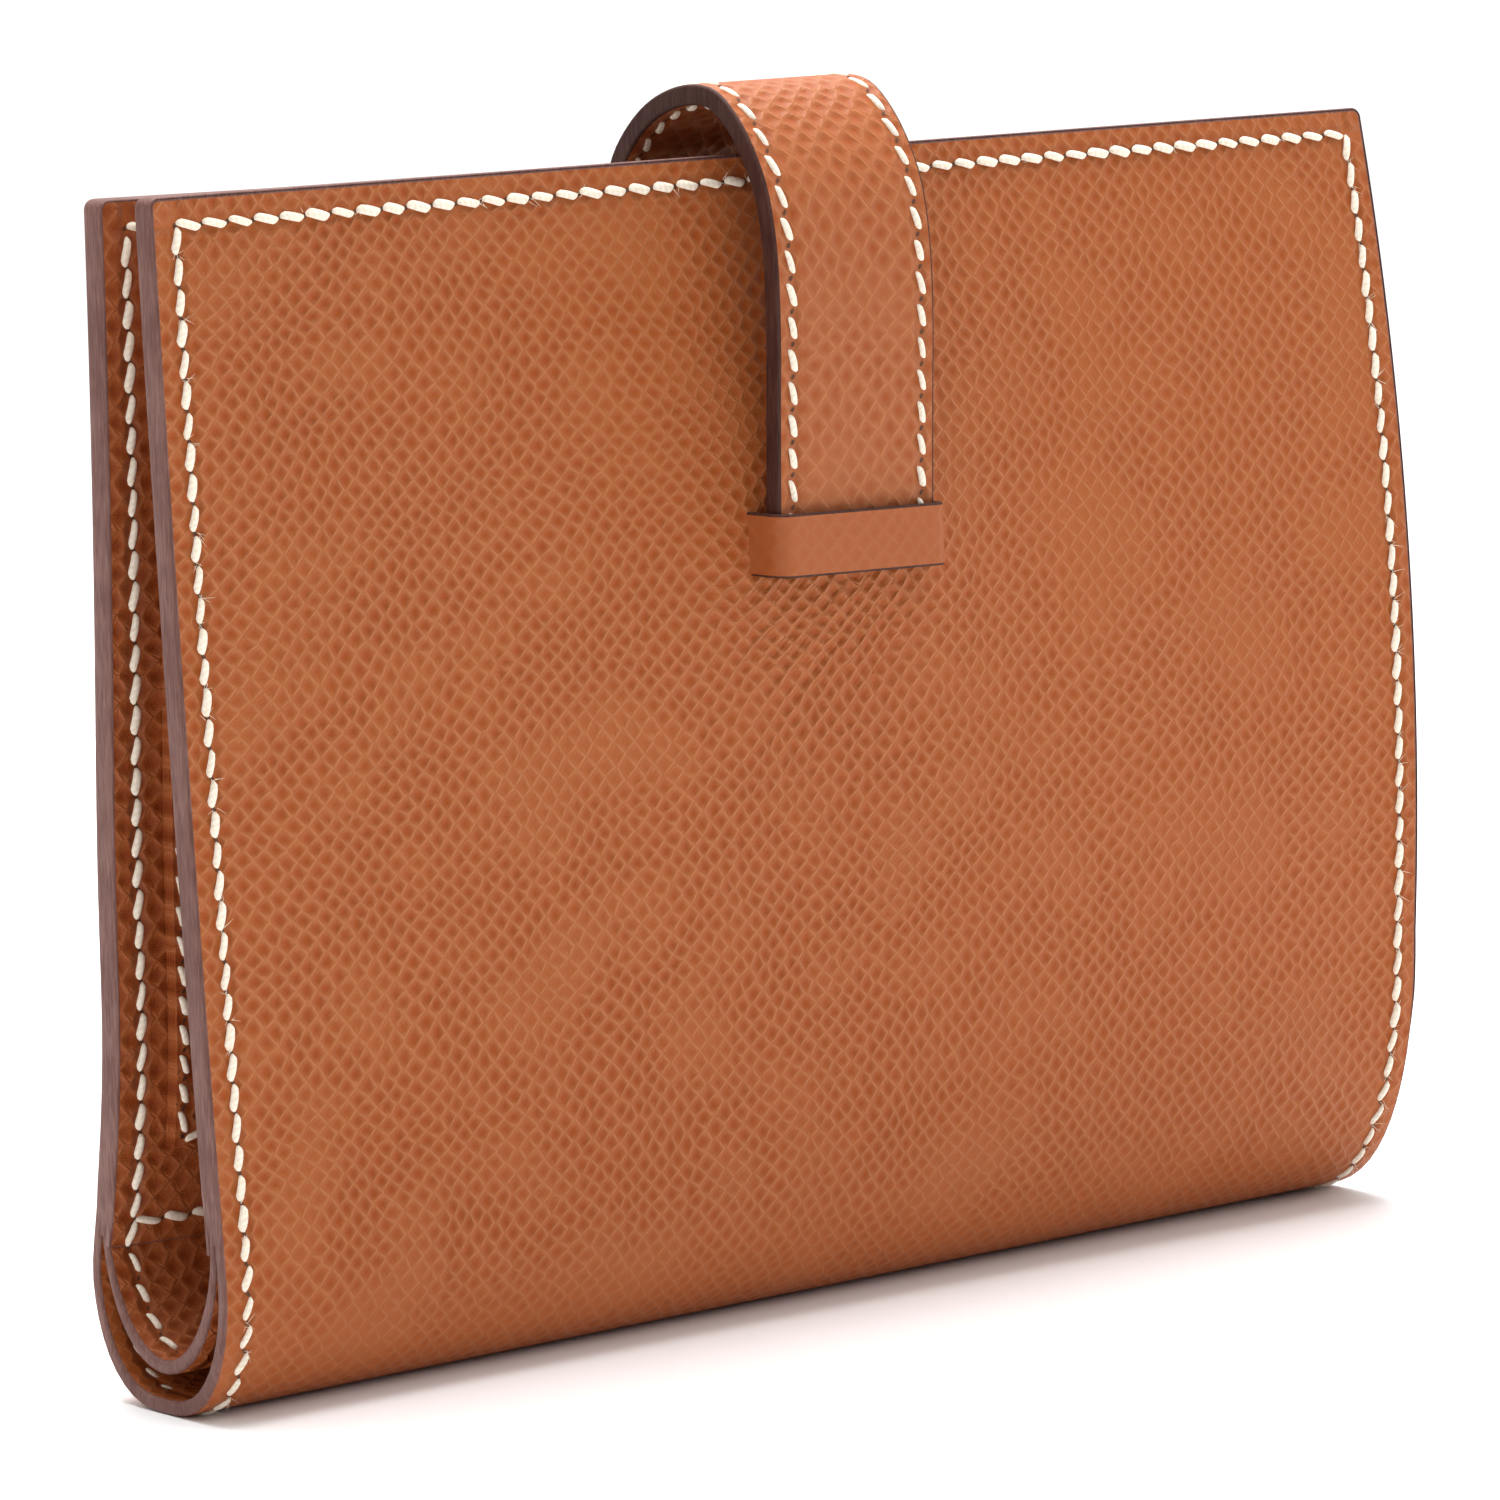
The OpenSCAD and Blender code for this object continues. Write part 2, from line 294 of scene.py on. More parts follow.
def pressed_grain():
    """Pressed grain: slanting rows of small shingles, each with a soft pit at its lower left, a raised web
    round its upper right and a sharp drop to the next one."""
    g, i, o = group("pressed_grain", [("Vector", VEC, None), ("Cell", NUM, 1.3), ("Flatten", NUM, 0.0)],
                    [("Height", NUM), ("Rise", NUM)])
    drift = put(g, "ShaderNodeTexNoise", {"Vector": i.outputs["Vector"], "Scale": 0.07, "Detail": 2.0})
    shift = put(g, "ShaderNodeVectorMath", {0: drift.outputs["Color"], 1: (0.5, 0.5, 0.5)},
                operation="SUBTRACT")
    shift = put(g, "ShaderNodeVectorMath", {0: shift.outputs[0], "Scale": 3.0}, operation="SCALE")
    moved = put(g, "ShaderNodeVectorMath", {0: i.outputs["Vector"], 1: shift.outputs[0]}, operation="ADD")
    slanted = put(g, "ShaderNodeMapping", {"Vector": moved.outputs[0], "Rotation": (0, 0, GRAIN_SLANT)})
    turned = slanted.outputs[0]
    size = calc(g, "DIVIDE", 1.0, i.outputs["Cell"])
    cells = put(g, "ShaderNodeTexVoronoi", {"Vector": turned, "Scale": size, "Randomness": 0.27},
                voronoi_dimensions="2D", feature="F1")
    border = put(g, "ShaderNodeTexVoronoi", {"Vector": turned, "Scale": size, "Randomness": 0.27},
                 voronoi_dimensions="2D", feature="DISTANCE_TO_EDGE").outputs["Distance"]
    away = put(g, "ShaderNodeVectorMath", {0: turned, 1: cells.outputs["Position"]}, operation="SUBTRACT")
    in_cell = put(g, "ShaderNodeVectorMath", {0: away.outputs[0], "Scale": size},
                  operation="SCALE").outputs[0]
    parts = put(g, "ShaderNodeSeparateXYZ", {0: in_cell})
    along = calc(g, "MULTIPLY_ADD", parts.outputs[0], 0.75, calc(g, "MULTIPLY", parts.outputs[1], 0.75))
    from_pit = put(g, "ShaderNodeVectorMath", {0: in_cell, 1: (0.13, 0.1, 0)}, operation="ADD")
    far_off = put(g, "ShaderNodeVectorMath", {0: from_pit.outputs[0]}, operation="LENGTH").outputs["Value"]
    pit = fade(g, far_off, 0.0, 0.54, 1.0, 0.0)
    web = calc(g, "MULTIPLY", fade(g, border, 0.0, 0.36, 1.0, 0.0), fade(g, along, -0.45, 0.3, 0.2, 1.0))
    shingle = calc(g, "MULTIPLY", fade(g, along, -0.5, 0.45), fade(g, border, 0.0, 0.11, 0.35, 1.0))
    creases = put(g, "ShaderNodeTexVoronoi", {"Vector": moved.outputs[0], "Scale": 1.9, "Randomness": 1.0},
                  voronoi_dimensions="2D", feature="DISTANCE_TO_EDGE")
    crease = fade(g, creases.outputs["Distance"], 0.0, 0.1, 1.0, 0.0)
    patch = put(g, "ShaderNodeTexNoise", {"Vector": i.outputs["Vector"], "Scale": 0.1, "Detail": 2.0})
    strength = calc(g, "MULTIPLY", fade(g, patch.outputs[0], 0.3, 0.65, 0.85, 1.0),
                    calc(g, "SUBTRACT", 1.0, i.outputs["Flatten"]))
    height = calc(g, "MULTIPLY_ADD", pit, -0.75, calc(g, "MULTIPLY", shingle, 0.5))
    height = calc(g, "MULTIPLY_ADD", web, 0.55, calc(g, "MULTIPLY_ADD", crease, 0.09, height))
    g.links.new(calc(g, "MULTIPLY", height, strength), o.inputs["Height"])
    # painted light for the colour: the pit as painted shade, the web (strongest on the cell's upper right) as
    # painted highlight; the same mask also sets the roughness
    g.links.new(calc(g, "MULTIPLY", calc(g, "SUBTRACT", web, pit), strength), o.inputs["Rise"])
    return g


def stitch_bed():
    """The shallow valley that a row of stitches pulls into the leather, along both ends and the free edge."""
    g, i, o = group("stitch_bed", [("Vector", VEC, None), ("Side line", NUM, 60.3), ("Edge line", NUM, 2.2),
                                   ("Half width", NUM, 1.0)], [("Bed", NUM)])
    at = put(g, "ShaderNodeSeparateXYZ", {0: i.outputs["Vector"]})
    from_middle = calc(g, "ABSOLUTE", at.outputs[0])
    side = calc(g, "ABSOLUTE", calc(g, "SUBTRACT", from_middle, i.outputs["Side line"]))
    edge = calc(g, "ABSOLUTE", calc(g, "SUBTRACT", at.outputs[1], i.outputs["Edge line"]))
    nearest = calc(g, "MINIMUM", side, edge)
    inside = calc(g, "DIVIDE", nearest, i.outputs["Half width"])
    g.links.new(fade(g, inside, 0.0, 1.0, 1.0, 0.0), o.inputs["Bed"])
    return g


def tone_and_painted_light():
    """Uneven dye: slow drifts of tone and fine paler flecks, plus painted shade, deeper and redder, in the
    grain's pits and a painted highlight, paler, on the upper-right rims of its cells.
    """
    g, i, o = group("tone_and_painted_light", [("Vector", VEC, None), ("Colour", COL, (0.42, 0.13, 0.05, 1)),
                                    ("Deep", COL, (0.33, 0.07, 0.02, 1)), ("Pale", COL, (0.55, 0.22, 0.1, 1)),
                                    ("Rise", NUM, 0.0)], [("Colour", COL)])
    slow = put(g, "ShaderNodeTexNoise", {"Vector": i.outputs["Vector"], "Scale": 0.035, "Detail": 3.0})
    quick = put(g, "ShaderNodeTexNoise", {"Vector": i.outputs["Vector"], "Scale": 0.6, "Detail": 4.0})
    c = blend_colour(g, fade(g, slow.outputs[0], 0.3, 0.75, 0.0, 0.12), i.outputs["Colour"],
                     i.outputs["Deep"])
    # painted shade in the grain's pits, then a painted highlight on its upper-right rims
    c = blend_colour(g, fade(g, i.outputs["Rise"], 0.1, -0.9, 0.0, 0.95), c, i.outputs["Deep"])
    c = blend_colour(g, fade(g, i.outputs["Rise"], -0.1, 0.9, 0.0, 0.9), c, i.outputs["Pale"])
    c = blend_colour(g, fade(g, quick.outputs[0], 0.45, 0.8, 0.0, 0.14), c, i.outputs["Pale"])
    g.links.new(c, o.inputs["Colour"])
    return g


GRAIN, BED, TONE_AND_PAINTED_LIGHT = pressed_grain(), stitch_bed(), tone_and_painted_light()


def material(name):
    """An empty material, as (material, its nodes, its shader)."""
    m = bpy.data.materials.new(name)
    m.use_nodes = True
    t = m.node_tree
    t.nodes.clear()
    out = t.nodes.new("ShaderNodeOutputMaterial")
    shader = t.nodes.new("ShaderNodeBsdfPrincipled")
    t.links.new(shader.outputs[0], out.inputs[0])
    return m, t, shader


def pattern_mm(t):
    """Place on the cut leather, in millimetres."""
    uv = t.nodes.new("ShaderNodeUVMap")
    uv.uv_map = "pattern"
    return put(t, "ShaderNodeMapping", {"Vector": uv.outputs[0], "Scale": (100, 100, 100)}).outputs[0]


def use(t, g, **links):
    """A node group in a material; each input is given by its label, with _ for a space."""
    n = t.nodes.new("ShaderNodeGroup")
    n.node_tree = g
    for k, v in links.items():
        k = k.replace("_", " ")
        if isinstance(v, bpy.types.NodeSocket):
            t.links.new(v, n.inputs[k])
        else:
            n.inputs[k].default_value = v
    return n


def leather(name, colour, deep, pale, cell=1.3, relief=0.24, bed=None, smooth=0.0, rough=0.46, calm=False):
    """Dyed, grained leather. cell and relief give the grain's size in millimetres, bed the lines where stitches
    pull it in, smooth how far the grain is pressed flat. calm is for the covers: flatter grain towards the
    right end and the fold, and creases drawn round the bar."""
    m, t, shader = material(name)
    at = pattern_mm(t)
    flat = smooth
    if calm:
        way = put(t, "ShaderNodeSeparateXYZ", {0: at})
        flat = calc(t, "MAXIMUM", fade(t, way.outputs[0], -50.0, 45.0, 0.0, 0.3),
                    fade(t, way.outputs[1], TOP - 16, TOP, 0.0, 0.5))
    if bed:
        rows = use(t, BED, Vector=at, Side_line=bed[0], Edge_line=bed[1], Half_width=0.95)
        flat = calc(t, "MAXIMUM", calc(t, "MULTIPLY", rows.outputs[0], 0.7), flat)
    grain = use(t, GRAIN, Vector=at, Cell=cell, Flatten=flat)
    # base colour: dye tone plus painted shade in the grain's pits and a painted highlight on the upper-right
    # rims of its cells
    tone = use(t, TONE_AND_PAINTED_LIGHT, Vector=at, Colour=colour, Deep=deep, Pale=pale, Rise=grain.outputs["Rise"])
    t.links.new(tone.outputs[0], shader.inputs["Base Color"])
    dull = fade(t, grain.outputs["Rise"], -1.0, 1.0, rough + 0.08, rough - 0.06)
    t.links.new(dull, shader.inputs["Roughness"])
    height = grain.outputs["Height"]
    if bed:
        height = calc(t, "MULTIPLY_ADD", rows.outputs[0], -1.3, height)
    if calm:
        from_bar = put(t, "ShaderNodeVectorMath", {0: at, 1: (-3, TOP - BAR_LOW + 2.5, 0)},
                       operation="SUBTRACT")
        near_bar = put(t, "ShaderNodeVectorMath", {0: from_bar.outputs[0]},
                       operation="LENGTH").outputs["Value"]
        drawn = put(t, "ShaderNodeMapping", {"Vector": put(t, "ShaderNodeMapping", {
            "Vector": at, "Rotation": (0, 0, GRAIN_SLANT)}).outputs[0], "Scale": (0.12, 0.8, 1)}).outputs[0]
        pulls = put(t, "ShaderNodeTexNoise", {"Vector": drawn, "Scale": 1.0, "Detail": 2.0})
        pulled = calc(t, "MULTIPLY", pulls.outputs[0], fade(t, near_bar, 3.0, 13.0, 1.0, 0.0))
        height = calc(t, "MULTIPLY_ADD", pulled, -3.0, height)
    pores = put(t, "ShaderNodeTexNoise", {"Vector": at, "Scale": 7.0, "Detail": 3.0})
    height = calc(t, "MULTIPLY_ADD", pores.outputs[0], 0.10, height)
    bump = put(t, "ShaderNodeBump", {"Strength": 1.0, "Distance": relief * MM, "Height": height})
    t.links.new(bump.outputs[0], shader.inputs["Normal"])
    shader.inputs["Specular IOR Level"].default_value = 0.22
    return m


# TAN_DEEP is the painted shade colour of the grain's pits and TAN_PALE the painted highlight colour of its
# rims; both also tint the slow and fine drifts of tone
TAN = (0.37, 0.096, 0.021, 1)
TAN_DEEP = (0.33, 0.062, 0.005, 1)
TAN_PALE = (0.44, 0.145, 0.048, 1)
side_line = HALF_W - ROW_IN
grained = leather("grained_calf", TAN, TAN_DEEP, TAN_PALE, bed=(side_line, ROW_IN), calm=True)
grained_plain = leather("grained_calf_lining", (0.33, 0.078, 0.016, 1), (0.24, 0.042, 0.006, 1),
                        (0.42, 0.125, 0.04, 1), cell=1.7, relief=0.3, bed=(side_line, -50.0))
grained_strap = leather("grained_calf_strap", (0.37, 0.106, 0.032, 1), TAN_DEEP, TAN_PALE, cell=1.6,
                        relief=0.2, bed=(STRAP_HALF - 1.6, -50.0), smooth=0.3)
plain_calf = leather("smooth_calf", (0.35, 0.095, 0.027, 1), TAN_DEEP, TAN_PALE, relief=0.12, smooth=0.75)


def edge_paint(name, colour, light):
    """Brushed edge dye: fine fibres lengthwise along the cut edge."""
    m, t, shader = material(name)
    where = t.nodes.new("ShaderNodeTexCoord").outputs["Object"]
    a = put(t, "ShaderNodeMapping", {"Vector": where, "Scale": (5200, 5200, 420)}).outputs[0]
    fibres = put(t, "ShaderNodeTexNoise", {"Vector": a, "Scale": 1.0, "Detail": 4.0, "Roughness": 0.65})
    b = put(t, "ShaderNodeMapping", {"Vector": where, "Scale": (260, 260, 260)}).outputs[0]
    patches = put(t, "ShaderNodeTexNoise", {"Vector": b, "Scale": 1.0, "Detail": 2.0})
    mixed = calc(t, "MULTIPLY_ADD", fibres.outputs[0], 0.7, calc(t, "MULTIPLY", patches.outputs[0], 0.3))
    c = blend_colour(t, fade(t, mixed, 0.35, 0.68), colour, light)
    t.links.new(c, shader.inputs["Base Color"])
    t.links.new(fade(t, mixed, 0.3, 0.7, 0.65, 0.5), shader.inputs["Roughness"])
    shader.inputs["Specular IOR Level"].default_value = 0.2
    bump = put(t, "ShaderNodeBump", {"Strength": 1.0, "Distance": 0.05 * MM, "Height": mixed})
    t.links.new(bump.outputs[0], shader.inputs["Normal"])
    return m


paint = edge_paint("edge_paint", (0.13, 0.056, 0.046, 1), (0.23, 0.120, 0.103, 1))
paint_dark = edge_paint("edge_paint_strap", (0.040, 0.012, 0.008, 1), (0.078, 0.031, 0.023, 1))


def waxed_thread():
    """Waxed linen: slanting plies and a little grey where it is handled."""
    m, t, shader = material("waxed_thread")
    uv = t.nodes.new("ShaderNodeUVMap")
    uv.uv_map = "pattern"
    ply = put(t, "ShaderNodeTexWave",
              {"Vector": uv.outputs[0], "Scale": 1.1, "Distortion": 0.8, "Detail": 1.0},
              wave_type="BANDS", bands_direction="DIAGONAL")
    where = t.nodes.new("ShaderNodeTexCoord").outputs["Object"]
    fuzz = put(t, "ShaderNodeTexNoise", {"Vector": where, "Scale": 5200.0, "Detail": 3.0})
    tone = calc(t, "MULTIPLY_ADD", ply.outputs[1], 0.15, calc(t, "MULTIPLY", fuzz.outputs[0], 0.7))
    c = blend_colour(t, fade(t, tone, 0.15, 0.6), (0.80, 0.68, 0.52, 1), (0.95, 0.87, 0.74, 1))
    t.links.new(c, shader.inputs["Base Color"])
    t.links.new(fade(t, tone, 0.0, 1.0, 0.85, 0.7), shader.inputs["Roughness"])
    bump = put(t, "ShaderNodeBump", {"Strength": 0.6, "Distance": 0.02 * MM, "Height": tone})
    t.links.new(bump.outputs[0], shader.inputs["Normal"])
    return m


thread = waxed_thread()


def hole_shade_material():
    """Needle holes: a flat near-black disc, painted shade for the dark inside of each hole."""
    m, t, shader = material("needle_hole_painted_shade")
    where = t.nodes.new("ShaderNodeTexCoord").outputs["Object"]
    n = put(t, "ShaderNodeTexNoise", {"Vector": where, "Scale": 2500.0, "Detail": 2.0})
    c = blend_colour(t, n.outputs[0], (0.05, 0.018, 0.008, 1), (0.14, 0.045, 0.016, 1))
    t.links.new(c, shader.inputs["Base Color"])
    shader.inputs["Roughness"].default_value = 0.8
    return m


painted_hole_shade = hole_shade_material()


# --- making pieces ---------------------------------------------------------------------------------
def finish_mesh(bm, name, materials, uv_of=None, smooth=True):
    """Turns the worked mesh into an object; uv_of gives each vertex its place on the cut leather."""
    if uv_of is not None:
        layer = bm.loops.layers.uv.new("pattern")
        for f in bm.faces:
            for loop in f.loops:
                loop[layer].uv = uv_of[loop.vert.index]
    for f in bm.faces:
        f.smooth = smooth
    mesh = bpy.data.meshes.new(name)
    bm.to_mesh(mesh)
    bm.free()
    o = bpy.data.objects.new(name, mesh)
    bpy.context.scene.collection.objects.link(o)
    for m in materials:
        mesh.materials.append(m)
    return o


def cut_sheet(name, surface, x0, x1, low, high, depth, thick, mats, nx=50, ny=44, corner=2.0, seams=(),
              ease=1.0, rim=0.28, from_top=True, plump=0.0):
    """A leather leaf: cut flat between x0..x1 and low(x)..high(x), corners trimmed, given its thickness and
    rounded rim, then laid on its surface. A seam (low or high) stays open, where the next piece goes on.
    plump is how much thicker it is in the fold, where nothing presses it flat."""
    bm = bmesh.new()
    bmesh.ops.create_grid(bm, x_segments=nx, y_segments=ny, size=0.5)
    tall = high(0) - low(0)
    for v in bm.verts:
        v.co = Vector((x0 + (v.co.x + 0.5) * (x1 - x0), ((v.co.y + 0.5) ** ease) * tall, 0))
    if corner > 0:
        for end, way in ((x0, -1), (x1, 1)):
            centre = Vector((end - way * corner, tall - corner, 0))
            for k in range(1, 6):
                a = math.pi / 2 * k / 6
                n = Vector((way * math.cos(a), math.sin(a), 0))
                bmesh.ops.bisect_plane(bm, geom=bm.verts[:] + bm.edges[:] + bm.faces[:], dist=1e-5,
                                       plane_co=centre + n * corner, plane_no=n, clear_outer=True)
    bmesh.ops.recalc_face_normals(bm, faces=bm.faces[:])
    if bm.faces[:][0].normal.z < 0:
        bmesh.ops.reverse_faces(bm, faces=bm.faces[:])
    bmesh.ops.solidify(bm, geom=bm.faces[:], thickness=thick)
    lift = max(v.co.z for v in bm.verts)
    bmesh.ops.translate(bm, vec=(0, 0, -lift), verts=bm.verts[:])
    bmesh.ops.recalc_face_normals(bm, faces=bm.faces[:])
    for seam in seams:
        y = 0.0 if seam == "low" else tall
        caps = [f for f in bm.faces if all(abs(v.co.y - y) < 1e-3 for v in f.verts)]
        bmesh.ops.delete(bm, geom=caps, context="FACES_ONLY")
    turns = [e for e in bm.edges if len(e.link_faces) == 2
             and sorted(round(abs(f.normal.z)) for f in e.link_faces) == [0, 1]]
    bmesh.ops.bevel(bm, geom=turns, offset=rim, segments=3, profile=0.5, affect="EDGES", material=-1,
                    clamp_overlap=True)
    bm.normal_update()
    bm.verts.index_update()
    bm.verts.ensure_lookup_table()
    flat_normal = {}
    for v in bm.verts:
        main = [f for f in v.link_faces if abs(f.normal.z) > 0.99]
        wall = [f for f in v.link_faces if abs(f.normal.z) < 0.01]
        if main:
            n = Vector((0, 0, 1 if main[0].normal.z > 0 else -1))
        else:
            n = Vector((0, 0, 0))
            for f in (wall or v.link_faces):
                n += f.normal
            n.normalize()
        flat_normal[v.index] = n
    for f in bm.faces:
        f.material_index = 0 if abs(f.normal.z) > 0.99 else 1
    uv, normals = {}, {}

    def spot(x, part, w):
        s = low(x) + (high(x) - low(x)) * part
        return surface.place(x, s, depth, w * (1 + plump * plump_at(s)))

    for v in bm.verts:
        x, part, w = v.co.x, v.co.y / tall, v.co.z
        p, n, up = spot(x, part, w)
        s = low(x) + (high(x) - low(x)) * part
        uv[v.index] = (x / 100, (surface.length(x, depth) - s if from_top else s) / 100)
        across = (spot(x + 0.4, part, w)[0] - spot(x - 0.4, part, w)[0]).normalized()
        true_n = across.cross(up)
        true_n = (true_n if true_n.dot(n) > 0 else -true_n).normalized()
        f = flat_normal[v.index]
        normals[v.index] = (across * f.x + up * f.y + true_n * f.z).normalized()
        v.co = p * MM
    bm.normal_update()
    faces = [f for f in bm.faces if f.material_index == 0]
    if sum(1 if f.normal.dot(normals[f.verts[0].index]) > 0 else -1 for f in faces) < 0:
        bmesh.ops.reverse_faces(bm, faces=bm.faces[:])
    order = [normals[v.index] for v in bm.verts]
    o = finish_mesh(bm, name, mats, uv)
    o.data.normals_split_custom_set_from_vertices(order)
    return o


def painted_rim(name, surface, total, start_z, corner=0.8, bulge=0.12):
    """The one rounded, dyed band that closes the edges of all the layers: up one end, along the free edge and
    down the other."""
    path = []
    for way in (-1, 1):
        x = way * HALF_W
        s_low, s_high = surface.at_height(x, start_z), surface.length(x) - corner
        leg = [(x, s, way, 0.0) for s in np.linspace(s_low, s_high, 60)]
        turn = []
        for k in range(1, 6):
            a = math.pi / 2 * k / 6
            xa = way * (HALF_W - corner + corner * math.cos(a))
            sa = surface.length(xa) - corner + corner * math.sin(a)
            turn.append((xa, sa, way * math.cos(a), math.sin(a)))
        side = leg + turn
        path += side if way < 0 else side[::-1]
        if way < 0:
            across = np.linspace(-HALF_W + corner, HALF_W - corner, 50)
            path += [(x, surface.length(x), 0.0, 1.0) for x in across]
    # the band's section: (out from the cut edge, off the outer face)
    section = [(-0.08, 0.012), (-0.01, 0.0), (0.05, -0.12), (0.09, -0.42), (bulge, -total / 2),
               (0.09, 0.42 - total), (0.05, 0.12 - total), (-0.01, -total), (-0.08, -total - 0.012)]
    bm = bmesh.new()
    bmesh.ops.create_grid(bm, x_segments=len(path) - 1, y_segments=len(section) - 1, size=0.5)
    for v in bm.verts:
        i = round((v.co.x + 0.5) * (len(path) - 1))
        j = round((v.co.y + 0.5) * (len(section) - 1))
        x, s, ox, oy = path[i]
        end = min(1.0, min(i, len(path) - 1 - i) / 3)
        off, w = section[j]
        off = off - (1 - end) * 0.2
        v.co = surface.place(x + ox * off, s + oy * off, 0.0, w)[0] * MM
    bm.normal_update()
    middle = [f for f in bm.faces if abs(f.calc_center_median().x) > (HALF_W - 0.5) * MM]
    if sum(f.normal.x * (1 if f.calc_center_median().x > 0 else -1) for f in middle) < 0:
        bmesh.ops.reverse_faces(bm, faces=bm.faces[:])
    return finish_mesh(bm, name, [paint])


def stitch_shape(length, width, height):
    """One stitch lying along X with slanting ends that dip into the leather."""
    bm = bmesh.new()
    bmesh.ops.create_cube(bm, size=1.0)
    lengthwise = [e for e in bm.edges if abs(e.verts[0].co.x - e.verts[1].co.x) > 0.5]
    bmesh.ops.subdivide_edges(bm, edges=lengthwise, cuts=2)
    bmesh.ops.scale(bm, vec=(length, width, height), verts=bm.verts[:])
    bmesh.ops.bevel(bm, geom=bm.edges[:], offset=min(width, height) * 0.36, segments=1, profile=0.5,
                    affect="EDGES", material=-1, clamp_overlap=True)
    layer = bm.loops.layers.uv.new("pattern")
    for f in bm.faces:
        for loop in f.loops:
            loop[layer].uv = (loop.vert.co.x / length * 2.0, loop.vert.co.y / width * 0.8)
    for v in bm.verts:
        k = abs(v.co.x) / (length / 2)
        v.co.x += v.co.y * 0.5
        v.co.z -= k * k * height * 0.35
        v.co.y *= 1 - 0.18 * k ** 3
        v.co.z += height * 0.12
    for f in bm.faces:
        f.smooth = True
    mesh = bpy.data.meshes.new("stitch_shape")
    bm.to_mesh(mesh)
    bm.free()
    return mesh


def hole_shape():
    """The round mouth of one needle hole, 1 mm wide before it is scaled."""
    bm = bmesh.new()
    bmesh.ops.create_circle(bm, cap_ends=True, segments=8, radius=0.5)
    bm.loops.layers.uv.new("pattern")
    mesh = bpy.data.meshes.new("hole_shape")
    bm.to_mesh(mesh)
    bm.free()
    return mesh


STITCH = stitch_shape(2.12, 0.68, 0.5)
HOLE = hole_shape()


def lay(bm, shape, point, along, normal, scale=(1, 1, 1), turn=0.0):
    """Adds the shape with its X along the row and its Z off the leather."""
    n = normal.normalized()
    a = (along - n * along.dot(n)).normalized()
    b = n.cross(a)
    basis = Matrix((a, b, n)).transposed().to_4x4()
    m = Matrix.Translation(point * MM) @ basis @ Matrix.Rotation(turn, 4, "Z")
    m = m @ Matrix.Diagonal((scale[0] * MM, scale[1] * MM, scale[2] * MM, 1))
    before = len(bm.verts)
    bm.from_mesh(shape)
    bm.verts.ensure_lookup_table()
    bmesh.ops.transform(bm, matrix=m, verts=bm.verts[before:])


def hair(bm, root, normal):
    """A loose fibre of the thread standing off a needle hole."""
    lean = Vector((rng.uniform(-1, 1), rng.uniform(-0.3, 0.3), rng.uniform(-1, 1))) + normal * 0.5
    long = rng.uniform(0.45, 1.1)
    turn = lean.to_track_quat("Z", "X").to_matrix().to_4x4()
    m = Matrix.Translation((root + lean.normalized() * long / 2) * MM) @ turn @ Matrix.Scale(MM, 4)
    bmesh.ops.create_cone(bm, segments=3, radius1=0.028, radius2=0.008, depth=long, matrix=m)


def sew(name, surface, runs, depth=0.0, face=1, slant=0.27, size=1.0, pitch=PITCH, mirror=1, loose=0.05,
        fuzz=0.0, first=1.0, swell=0.0):
    """Rows of stitches and their needle holes. Each run is a list of (x, s) places; face -1 sews the inner face
    at this depth. fuzz is the share of stitches with loose fibres, first how much thicker the first one is,
    swell how far the leather is plumped in the fold."""
    bm, holes = bmesh.new(), bmesh.new()
    for run in runs:
        for k, ((x0, s0), (x1, s1)) in enumerate(zip(run, run[1:])):
            stout = size * (first if k == 0 else 1.0)
            a, n0, _ = surface.place(x0, s0, depth, -swell * plump_at(s0))
            b, n1, _ = surface.place(x1, s1, depth, -swell * plump_at(s1))
            n = (n0 + n1) * 0.5 * face
            mid, along = (a + b) * 0.5, (b - a)
            gap = along.length / pitch
            lay(bm, STITCH, mid + n.normalized() * 0.05, along, n,
                (size * gap * rng.uniform(0.92, 1.06), stout * rng.uniform(0.86, 1.16), stout),
                slant * mirror + rng.uniform(-loose, loose))
            # needle hole: a flat near-black disc laid on the leather, painted shade for the hole's dark inside
            lay(holes, HOLE, a + n0 * face * 0.035, along, n0 * face, (0.6 * size, 0.36 * size, 1),
                -0.6 * mirror)
            for _ in range(4 if rng.random() < fuzz else 0):
                aside = Vector((rng.uniform(-0.3, 0.3), 0, rng.uniform(-0.3, 0.3)))
                hair(bm, a + n0 * face * 0.1 + aside, n0 * face)
    o = finish_mesh(bm, name, [thread])
    h = finish_mesh(holes, name + "_holes", [painted_hole_shade])
    return o, h


def steps(a, b, pitch=PITCH):
    """Evenly spaced places from a to b, as near to the pitch as the length allows."""
    n = max(1, round(abs(b - a) / pitch))
    return [a + (b - a) * k / n for k in range(n + 1)]


# --- camera ----------------------------------------------------------------------------------------
def aim():
    """Looks at the wallet's middle from the front left, a little above, with a slight roll."""
    az, el, roll = math.radians(-39.459), math.radians(7.904), math.radians(-1.769)
    far_off = 615.07
    back = Vector((math.sin(az) * math.cos(el), -math.cos(az) * math.cos(el), math.sin(el)))
    right = Vector((math.cos(az), math.sin(az), 0))
    up = back.cross(right)
    r2 = right * math.cos(roll) + up * math.sin(roll)
    u2 = up * math.cos(roll) - right * math.sin(roll)
    data = bpy.data.cameras.new("studio_camera")
    data.sensor_width = 36.0
    data.lens = 177.36
    data.clip_start = 0.02
    data.clip_end = 20
    cam = bpy.data.objects.new("studio_camera", data)
    bpy.context.scene.collection.objects.link(cam)
    centre = Vector((0, 0, TOP / 2)) + right * -0.485 + up * -2.051
    place = (centre + back * far_off) * MM
    cam.matrix_world = Matrix.Translation(place) @ Matrix((r2, u2, back)).transposed().to_4x4()
    bpy.context.scene.camera = cam


aim()

